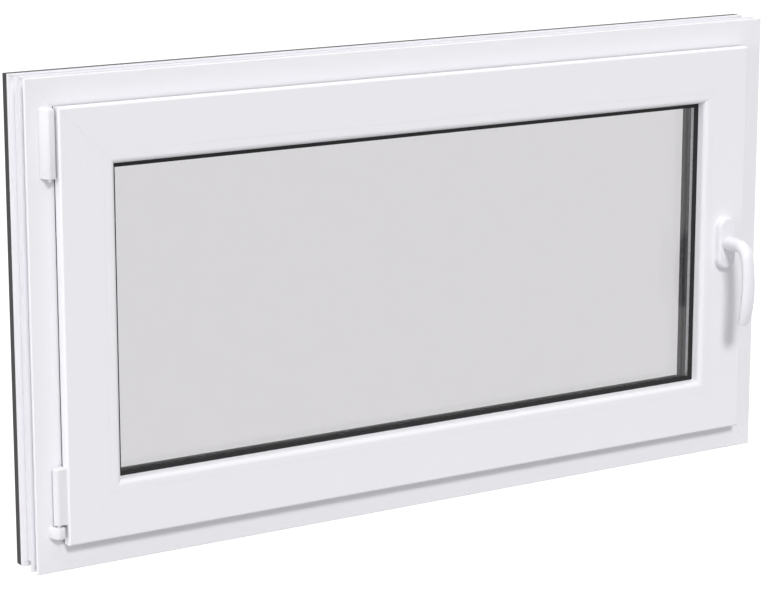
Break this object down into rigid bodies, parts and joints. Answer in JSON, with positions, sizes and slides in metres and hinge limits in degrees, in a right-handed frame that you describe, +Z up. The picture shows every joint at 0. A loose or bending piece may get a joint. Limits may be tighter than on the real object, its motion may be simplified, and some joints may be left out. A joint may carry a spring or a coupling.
{
  "type": "attic window",
  "caption": "Inward-opening tilt-and-turn attic window, shut, with mitred plastic frame and sash, double glazing, hinges and a lever handle.",
  "frame": {"origin": "under the sill, midway along its length, in the middle of the flat land on the outdoor side of the frame's underside", "axes": "+X to the right seen from the room, from the hinges to the handle; +Y from the room to the outdoors; +Z up"},
  "size_m": [1.1, 0.1417, 0.6],
  "materials": {
    "white_upvc": "satin",
    "anthracite_foil": "fine grained",
    "drain_cap_plastic": "matte",
    "clear_glass": "polished",
    "black_rubber": "matte",
    "spacer_aluminium": "satin",
    "handle_white": "satin",
    "hinge_white": "satin",
    "zinc_steel": "zinc plated"
  },
  "bodies": {
    "window": {"drain_cap_left": "drain_cap_plastic", "drain_cap_right": "drain_cap_plastic", "frame_foil_head": "anthracite_foil", "frame_foil_hinge_side": "anthracite_foil", "frame_foil_lock_side": "anthracite_foil", "frame_foil_sill": "anthracite_foil", "frame_head": "white_upvc", "frame_hinge_jamb": "white_upvc", "frame_lock_jamb": "white_upvc", "frame_sill": "white_upvc", "frame_weather_seal": "black_rubber", "glass_gasket_inside": "black_rubber", "glass_gasket_outside": "black_rubber", "glass_spacer": "spacer_aluminium", "glazing_bead_bottom": "white_upvc", "glazing_bead_hinge_side": "white_upvc", "glazing_bead_lock_side": "white_upvc", "glazing_bead_top": "white_upvc", "handle_rosette": "handle_white", "inner_pane": "clear_glass", "lower_hinge_bearing": "hinge_white", "lower_hinge_pin": "zinc_steel", "lower_hinge_sleeve": "hinge_white", "outer_pane": "clear_glass", "sash_bottom_rail": "white_upvc", "sash_foil_bottom": "anthracite_foil", "sash_foil_hinge_side": "anthracite_foil", "sash_foil_lock_side": "anthracite_foil", "sash_foil_top": "anthracite_foil", "sash_hinge_stile": "white_upvc", "sash_lock_stile": "white_upvc", "sash_top_rail": "white_upvc", "sash_weather_seal": "black_rubber", "upper_hinge_cap": "hinge_white", "upper_hinge_pin": "zinc_steel", "upper_hinge_plate": "zinc_steel"},
    "handle": {"handle_lever": "handle_white", "handle_spindle": "zinc_steel"}
  },
  "joints": [
    {"name": "handle_turn", "type": "hinge", "parent": "window", "child": "handle", "pos_m": [0.48, -0.1, 0.3], "axis": [0, 1, 0], "range_deg": [0, 180]}
  ]
}
